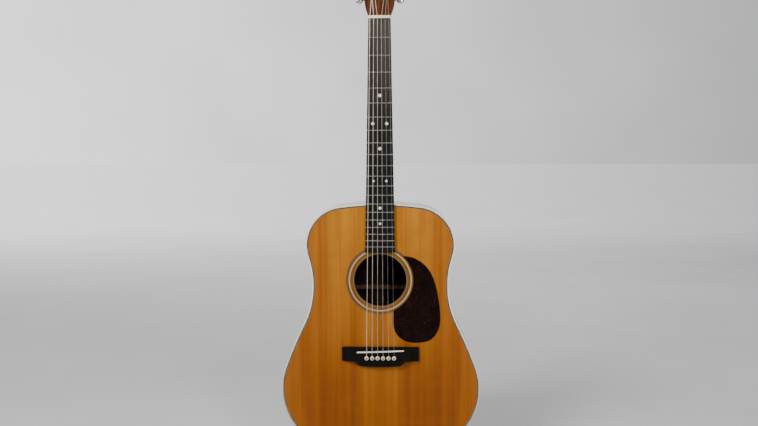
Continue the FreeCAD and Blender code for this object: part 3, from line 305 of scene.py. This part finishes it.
def ivoroid():
    """Aged cream plastic with a faint lengthwise figure, darker towards the tail as painted shade."""
    s = Shade("aged_ivoroid", rough=0.28, shine=0.4)
    figure = s.noise(s.vector(s.x, s.times(s.y, 3.0), s.times(s.z, 0.08)), 260.0, 3.0)
    age = s.noise(s.place, 14.0, 3.0)
    colour = s.ramp(figure, [(0.25, (0.82, 0.73, 0.50)), (0.75, (0.97, 0.92, 0.74))])
    colour = s.mix(s.times(age, 0.25), colour, (0.74, 0.64, 0.40))
    # painted shade: the plastic is darker low down, towards the tail
    painted_shade_low = s.ramp(s.z, [(0.04, (0.50, 0.45, 0.36)), (0.30, (1.0, 1.0, 1.0))])
    s.colour(s.mix(1.0, colour, painted_shade_low, "MULTIPLY"))
    s.roughness(s.ramp(age, [(0.3, 0.22), (0.8, 0.40)]))
    s.bump(figure, 0.00001)
    return s.material


def bone():
    """Yellowed bone with faint brown flecks."""
    s = Shade("bone", rough=0.38)
    marrow = s.noise(s.vector(s.times(s.x, 0.25), s.y, s.z), 900.0, 3.0)
    tone = s.noise(s.place, 60.0, 3.0)
    colour = s.ramp(tone, [(0.3, (0.82, 0.73, 0.46)), (0.7, (0.94, 0.88, 0.64))])
    flecks = s.times(s.ramp(marrow, [(0.6, 0.0), (0.75, 1.0)]), 0.35)
    s.colour(s.mix(flecks, colour, (0.55, 0.46, 0.32)))
    s.bump(marrow, 0.00002)
    return s.material


def tortoise():
    """Near-black maroon plastic with red-brown clouds and sparse specks deep under a gloss."""
    s = Shade("tortoise", rough=0.22, shine=0.06)
    cloud = s.noise(s.place, 60.0, 5.0, 0.62, 0.8)
    speck = s.noise(s.place, 330.0, 2.0, 0.5, 0.3)
    base = s.ramp(cloud, [(0.40, (0.0034, 0.0012, 0.0009)), (0.60, (0.0085, 0.0024, 0.0014)),
                          (0.78, (0.030, 0.007, 0.0028))])
    gate = s.times(s.ramp(speck, [(0.67, 0.0), (0.72, 1.0)]), 0.6)
    s.colour(s.mix(gate, base, (0.10, 0.034, 0.018)))
    scuff = s.noise(s.vector(s.x, s.y, s.times(s.z, 0.4)), 420.0, 4.0)
    s.roughness(s.ramp(scuff, [(0.4, 0.15), (0.8, 0.32)]))
    s.bump(s.noise(s.place, 40.0, 2.0), 0.0001, 0.3)
    return s.material


def metal(name, colour, rough, wear, brush=None):
    """Plated metal with a clouded polish, and brush marks along a direction if given."""
    s = Shade(name, rough=rough, metal=1.0)
    cloud = s.noise(s.place, 180.0, 4.0, 0.6)
    s.colour(s.ramp(cloud, [(0.30, scaled(colour, 0.62)), (0.62, colour)]))
    stretch = {"x": (0.05, 1.0, 1.0), "z": (1.0, 1.0, 0.05)}.get(brush, (1.0, 1.0, 1.0))
    marks = s.noise(s.vector(*[s.times(p, k) for p, k in zip((s.x, s.y, s.z), stretch)]), 2600.0, 3.0)
    s.roughness(s.ramp(marks, [(0.3, max(rough - wear, 0.05)), (0.7, rough + wear)]))
    s.bump(marks, 0.000006, 0.5)
    return s.material


def wound_wire():
    """Bronze wrap: fine ridges across the string's run."""
    s = Shade("bronze_wrap", rough=0.45, metal=1.0)
    ridge = s.math("SINE", s.times(s.z, TAU / WRAP_PITCH))
    ridge = s.add(s.times(ridge, 0.5), 0.5)
    age = s.noise(s.place, 30.0, 3.0)
    bright = s.ramp(age, [(0.3, (0.78, 0.70, 0.58)), (0.7, (0.95, 0.90, 0.80))])
    s.colour(s.mix(s.times(s.math("SUBTRACT", 1.0, ridge), 0.55), bright, (0.30, 0.22, 0.14)))
    s.roughness(s.ramp(age, [(0.3, 0.38), (0.8, 0.52)]))
    s.bump(ridge, 0.00004)
    return s.material


def pearl():
    """Shell in green, white and pink clouds."""
    s = Shade("pearl", rough=0.18, coat=0.6)
    cloud = s.noise(s.place, 700.0, 4.0, 0.6, 1.2)
    s.colour(s.ramp(cloud, [(0.25, (0.62, 0.70, 0.66)), (0.5, (0.90, 0.91, 0.86)),
                            (0.75, (0.80, 0.72, 0.74))]))
    s.bump(cloud, 0.00002)
    return s.material


def fibre_strip(name, colour):
    """Thin strip used in the inlay lines and tiles."""
    s = Shade(name, rough=0.45, coat=0.3)
    fibre = s.noise(s.vector(s.x, s.y, s.times(s.z, 0.3)), 1300.0, 3.0)
    s.colour(s.ramp(fibre, [(0.3, scaled(colour, 0.5)), (0.7, scaled(colour, 1.4))]))
    s.bump(fibre, 0.00001)
    return s.material


def rosette_line():
    """Aged holly: the wide middle ring is the palest, the thin rings beside it are browner."""
    s = Shade("aged_holly", rough=0.45, shine=0.2)
    fibre = s.noise(s.vector(s.x, s.y, s.times(s.z, 0.3)), 1300.0, 3.0)
    age = s.noise(s.place, 18.0, 2.0)
    ring = s.ramp(s.times(from_hole(s), 10.0), [(0.55, (0.27, 0.18, 0.085)), (0.57, (0.43, 0.35, 0.21)),
                                               (0.635, (0.43, 0.35, 0.21)), (0.65, (0.15, 0.10, 0.05))])
    faded = s.ramp(s.add(fibre, s.times(age, 0.5)), [(0.45, 0.72), (0.95, 1.0)])
    s.colour(s.mix(1.0, ring, faded, "MULTIPLY"))
    s.bump(fibre, 0.00001)
    return s.material


MATERIALS = {
    "spruce": spruce_top(),
    "pale_wood": pale_wood(),
    "back_wood": rosewood("back_rosewood", "book", 0.13),
    "side_wood": rosewood("side_rosewood", "y", 0.2),
    "head_wood": headplate_wood(),
    "mahogany": mahogany("neck_mahogany"),
    "board_ebony": ebony("fingerboard_ebony", rough=0.42, lift=0.8, shine=0.10),
    "bridge_ebony": ebony("bridge_ebony", rough=0.45, lift=0.5, shine=0.07),
    # painted shade: the graft inside the body is darkened to 0.30 of the mahogany's colour
    "graft_wood": mahogany("graft_mahogany", light=0.30, rough=0.8, coat=0.0),
    "ivoroid": ivoroid(),
    "bone": bone(),
    "tortoise": tortoise(),
    "pearl": pearl(),
    "fret": metal("fret_nickel", (0.46, 0.45, 0.41), rough=0.26, wear=0.06, brush="x"),
    "nickel": metal("tuner_nickel", (0.66, 0.64, 0.60), rough=0.20, wear=0.10),
    "steel": metal("rod_steel", (0.45, 0.45, 0.46), rough=0.40, wear=0.12, brush="z"),
    "plain_wire": metal("plain_steel_wire", (0.62, 0.62, 0.60), rough=0.42, wear=0.06, brush="z"),
    "wound_wire": wound_wire(),
    "dark_line": fibre_strip("black_fibre", (0.020, 0.017, 0.015)),
    "pale_line": fibre_strip("maple_fibre", (0.34, 0.28, 0.17)),
    "tile": fibre_strip("aged_maple", (0.16, 0.125, 0.07)),
    "old_line": rosette_line(),
}
NODE_LOOKS = {
    "spruce": ["soundboard"],
    "pale_wood": ["x_braces", "top_braces", "back_braces"],
    "back_wood": ["back_halves", "bridge_plate"],
    "side_wood": ["side_bass", "side_treble"],
    "head_wood": ["headplate"],
    "mahogany": ["neck", "head_block", "tail_block", "top_linings", "back_linings"],
    "graft_wood": ["back_graft"],
    "board_ebony": ["fingerboard"],
    "bridge_ebony": ["bridge"],
    "ivoroid": ["top_binding", "back_binding", "end_graft", "heel_cap", "strap_pin"],
    "old_line": ["rosette_light_rings"],
    "bone": ["nut", "saddle", "bridge_pins"],
    "tortoise": ["pickguard"],
    "pearl": ["fret_markers"],
    "fret": ["frets"],
    "nickel": ["post_bushings", "tuner_plates", "tuner_screws"] + [
        f"{kind}_{name}" for name in STRINGS for kind in ("string_post", "worm_shaft", "tuner_button")],
    "steel": ["truss_rod"],
    "dark_line": ["rosette_dark_rings", "top_purfling", "back_centre_strip"],
    "wound_wire": [f"string_{name}" for name in WOUND],
    "plain_wire": [f"string_{name}" for name in STRINGS if name not in WOUND],
}
for look, names in NODE_LOOKS.items():
    for name in names:
        NODES[name].data.materials.clear()
        NODES[name].data.materials.append(MATERIALS[look])


# --- camera, floor and light ----------------------------------------------------------------------

def camera():
    """Stands a little to the treble side, level with the eighth fret, looking slightly down."""
    right = Vector((math.cos(YAW), math.sin(YAW), 0))
    forward = Vector((-math.sin(YAW), math.cos(YAW), 0))
    up = Vector((0, 0, 1))
    ahead = forward * math.cos(PITCH) - up * math.sin(PITCH)
    upright = up * math.cos(PITCH) + forward * math.sin(PITCH)
    across = right * math.cos(ROLL) - upright * math.sin(ROLL)
    above = right * math.sin(ROLL) + upright * math.cos(ROLL)
    data = bpy.data.cameras.new("camera")
    data.sensor_width = SENSOR
    data.lens = LENS
    data.dof.use_dof = False
    eye = bpy.data.objects.new("camera", data)
    bpy.context.scene.collection.objects.link(eye)
    place = Matrix((across, above, -ahead)).transposed().to_4x4()
    place.translation = EYE
    eye.matrix_world = place
    bpy.context.scene.camera = eye


def floor():
    """A pale floor that gives off light of its own beyond the guitar, so that it meets the backdrop.
    The light falls off to the right, as the backdrop's does."""
    bpy.ops.mesh.primitive_plane_add(size=FLOOR_SIZE, location=(0, 0, cad_box[0][2] - FLOOR_DROP))
    ground = bpy.context.object
    ground.name = "floor"
    s = Shade("pale_floor", rough=0.95, shine=0.1)
    mottle = s.noise(s.place, 2.2, 4.0, 0.6)
    tone = s.ramp(mottle, [(0.3, (0.52, 0.52, 0.53)), (0.7, (0.56, 0.56, 0.57))])
    s.colour(tone)
    far = s.ramp(s.times(s.y, 0.16), [(0.08, 0.0), (0.9, 1.0)])
    side = s.math("DIVIDE", s.x, s.add(s.math("ABSOLUTE", s.y), GLOW_FAN))
    fall = s.ramp(s.add(side, 0.5), [(0.1, 1.0), (0.9, 0.34)], smooth=False)
    glow = s.mix(1.0, s.mix(1.0, far, tone, "MULTIPLY"), fall, "MULTIPLY")
    s.feed(s.surface.inputs["Emission Color"], glow)
    s.surface.inputs["Emission Strength"].default_value = FLOOR_GLOW
    ground.data.materials.append(s.material)


def light(name, place, aim, size, power, colour=(1, 1, 1)):
    """A soft rectangular lamp that shines from one place towards another."""
    data = bpy.data.lights.new(name, "AREA")
    data.shape = "RECTANGLE"
    data.size, data.size_y = size
    data.energy = power
    data.color = colour
    lamp = bpy.data.objects.new(name, data)
    bpy.context.scene.collection.objects.link(lamp)
    lamp.location = place
    lamp.rotation_euler = (Vector(aim) - Vector(place)).to_track_quat("-Z", "Y").to_euler()


def studio():
    """A bright backdrop beyond the guitar, darker to the right, and a dimmer room behind the viewer.
    Soft lamps stand to the left, to the right and beyond the guitar."""
    world = bpy.data.worlds.new("studio")
    bpy.context.scene.world = world
    world.use_nodes = True
    tree = world.node_tree
    sky = tree.nodes["Background"]
    place = tree.nodes.new("ShaderNodeTexCoord").outputs["Generated"]
    parts = tree.nodes.new("ShaderNodeSeparateXYZ")
    tree.links.new(place, parts.inputs[0])
    cloud = tree.nodes.new("ShaderNodeTexNoise")
    cloud.inputs["Scale"].default_value = 7.0
    cloud.inputs["Detail"].default_value = 4.0
    tree.links.new(place, cloud.inputs["Vector"])
    shade = tree.nodes.new("ShaderNodeMix")
    shade.data_type = "RGBA"
    shade.blend_type = "MULTIPLY"
    shade.inputs[0].default_value = 1.0
    for amount, tones, socket in (
            (parts.outputs["Y"], [(0.1, (0.38, 0.38, 0.39)), (0.75, (1.08, 1.085, 1.11))], shade.inputs[6]),
            (cloud.outputs["Fac"], [(0.3, (0.86, 0.86, 0.87)), (0.7, (1.0, 1.0, 1.0))], shade.inputs[7])):
        ramp = tree.nodes.new("ShaderNodeValToRGB")
        for point, (at, colour) in zip(ramp.color_ramp.elements, tones):
            point.position = at
            point.color = (*colour, 1.0)
        tree.links.new(amount, ramp.inputs[0])
        tree.links.new(ramp.outputs[0], socket)
    side = tree.nodes.new("ShaderNodeMapRange")
    for socket, size in (("From Min", -0.4), ("From Max", 0.4), ("To Min", 1.55), ("To Max", 0.52)):
        side.inputs[socket].default_value = size
    tree.links.new(parts.outputs["X"], side.inputs["Value"])
    fall = tree.nodes.new("ShaderNodeVectorMath")
    fall.operation = "SCALE"
    tree.links.new(shade.outputs[2], fall.inputs[0])
    tree.links.new(side.outputs["Result"], fall.inputs["Scale"])
    tree.links.new(fall.outputs[0], sky.inputs["Color"])
    sky.inputs["Strength"].default_value = 1.0
    light("key", (-1.7, -2.0, 2.3), (0, 0, 0.45), (1.1, 1.1), 98.0, (1.0, 0.98, 0.95))
    light("fill", (1.0, -2.3, 1.25), (0, 0, 0.4), (0.5, 0.5), 26.0, (0.98, 0.99, 1.0))
    light("rim", (0.8, 2.2, 2.2), (0, 0, 0.5), (1.6, 1.2), 30.0)


camera()
floor()
studio()


# --- pieces ---------------------------------------------------------------------------------------

def piece(name, points, faces, look):
    """A new mesh that rides on the guitar."""
    mesh = bpy.data.meshes.new(name)
    mesh.from_pydata(points, [], faces)
    mesh.materials.append(MATERIALS[look])
    made = bpy.data.objects.new(name, mesh)
    bpy.context.scene.collection.objects.link(made)
    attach(made, "guitar")
    return made


def run_lengths(loop):
    """Length of each run between neighbouring points of a closed loop."""
    return [(b - a).length for a, b in zip(loop, loop[1:] + loop[:1])]


def front_loop(node):
    """The longest edge loop of a node's front face, as a list of points."""
    mesh = bmesh.new()
    mesh.from_mesh(NODES[node].data)
    bmesh.ops.remove_doubles(mesh, verts=mesh.verts, dist=0.00001)
    front = min(v.co.y for v in mesh.verts)
    flat = {f for f in mesh.faces if all(abs(v.co.y - front) < 0.00001 for v in f.verts)}
    after = {}
    for edge in mesh.edges:
        if len(flat.intersection(edge.link_faces)) == 1:
            for a, b in (edge.verts, reversed(edge.verts)):
                after.setdefault(a, []).append(b)
    loops = []
    while after:
        start = min(after, key=lambda v: (v.co.z, v.co.x))
        loop, here, last = [start], after[start][0], start
        while here is not start:
            loop.append(here)
            here, last = next(v for v in after[here] if v is not last), here
        for v in loop:
            del after[v]
        loops.append([v.co.copy() for v in loop])
    mesh.free()
    return max(loops, key=lambda loop: sum(run_lengths(loop)))


def walk(loop, count):
    """Evenly spaced frames round a loop in the front plane: point, way along and way in."""
    runs = run_lengths(loop)
    total = sum(runs)
    middle = sum(loop, Vector()) / len(loop)
    spots, k, behind = [], 0, 0.0
    for n in range(count):
        along = total * n / count
        while behind + runs[k] < along:
            behind += runs[k]
            k += 1
        spots.append(loop[k].lerp(loop[(k + 1) % len(loop)], (along - behind) / runs[k]))
    frames = []
    for n, spot in enumerate(spots):
        way = (spots[(n + 2) % count] - spots[n - 2]).normalized()
        inward = way.cross(Vector((0, 1, 0)))
        frames.append((spot, way, inward))
    first = frames[0]
    side = 1 if first[2].dot(middle - first[0]) > 0 else -1
    return [(spot, way, inward * side) for spot, way, inward in frames]


def chips(name, frames, shapes, look, out=Vector((0, -1, 0))):
    """Thin tiles let into a surface: each shape is four (along, across) corners at every frame."""
    points, faces = [], []
    for spot, way, inward in frames:
        for shape in shapes:
            base = len(points)
            for lift in (TILE_PROUD, -TILE_DEEP):
                points += [spot + way * a + inward * b + out * lift for a, b in shape]
            faces += [(base, base + 1, base + 2, base + 3), (base + 7, base + 6, base + 5, base + 4)]
            faces += [(base + k, base + 4 + k, base + 4 + (k + 1) % 4, base + (k + 1) % 4) for k in range(4)]
    made = piece(name, points, faces, look)
    outward = bmesh.new()
    outward.from_mesh(made.data)
    bmesh.ops.recalc_face_normals(outward, faces=outward.faces)
    outward.to_mesh(made.data)
    outward.free()


def tile(low, high, wide, lean=0.0):
    """Corners of a tile between two distances across the strip."""
    return [(-wide / 2, low), (wide / 2, low), (wide / 2 + lean, high), (-wide / 2 + lean, high)]


def moved(shape, step):
    """The same tile further along the strip."""
    return [(a + step, b) for a, b in shape]


def herringbone():
    """Two rows of leaning tiles and two pale lines in the dark strip round the soundboard."""
    loop = front_loop("top_purfling")
    length = sum(run_lengths(loop))
    count = int(length / HERRING_PITCH)
    frames = walk(loop, count)
    outer = tile(0.00076, 0.00172, HERRING_WIDE, HERRING_LEAN)
    inner = moved(tile(0.00182, 0.00278, HERRING_WIDE, -HERRING_LEAN), HERRING_LEAN)
    chips("herringbone_tiles", frames, [outer, inner], "tile")
    lines = [tile(b, b + w, length / count) for b, w in ((0.00012, 0.00045), (0.00292, 0.0002))]
    chips("herringbone_lines", frames, lines, "pale_line")


def back_strip():
    """Leaning tiles down the middle of the back, between two pale lines."""
    low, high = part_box("back_centre_strip")
    count = int((high[2] - low[2] - 2 * STRIP_MARGIN) / STRIP_PITCH)
    frames = []
    for n in range(count):
        z = low[2] + STRIP_MARGIN + STRIP_PITCH * (n + 0.5)
        y = BACK_MIDDLE.y + math.sqrt(BACK_RADIUS ** 2 - (z - BACK_MIDDLE.z) ** 2)
        frames.append((Vector((0, y, z)), Vector((0, 0, 1)), Vector((1, 0, 0))))
    right = tile(0.0002, 0.0021, STRIP_WIDE, STRIP_WIDE)
    left = moved(tile(-0.0021, -0.0002, STRIP_WIDE, -STRIP_WIDE), STRIP_WIDE)
    outward = Vector((0, 1, 0))
    chips("back_strip_tiles", frames, [right, left], "pale_line", out=outward)
    lines = [tile(b, b + 0.0004, STRIP_PITCH) for b in (-0.0030, 0.0026)]
    chips("back_strip_lines", frames, lines, "pale_line", out=outward)


def pin_dots():
    """A round dark inlay in the head of each bridge pin, following its dome."""
    points, faces, rings, around = [], [], 5, 20
    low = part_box("bridge_pins")[0]
    middle = low[2] + PIN_RADIUS
    for k in range(len(STRINGS)):
        base = len(points)
        x = (k - (len(STRINGS) - 1) / 2) * PIN_SPACING
        points.append((x, low[1] - DOT_PROUD, middle))
        for r in range(1, rings + 1):
            radius = DOT_RADIUS * min(r, rings - 1) / (rings - 1)
            dome = PIN_DOME * (1 - math.sqrt(1 - (radius / PIN_RADIUS) ** 2))
            y = low[1] + dome + (-DOT_PROUD if r < rings else DOT_DEEP)
            for a in range(around):
                turn = TAU * a / around
                points.append((x + radius * math.cos(turn), y, middle + radius * math.sin(turn)))
        for a in range(around):
            b = (a + 1) % around
            faces.append((base, base + 1 + a, base + 1 + b))
            for r in range(rings - 1):
                near = base + 1 + r * around
                far = near + around
                faces.append((near + a, far + a, far + b, near + b))
    piece("bridge_pin_dots", points, faces, "dark_line")


herringbone()
back_strip()
pin_dots()
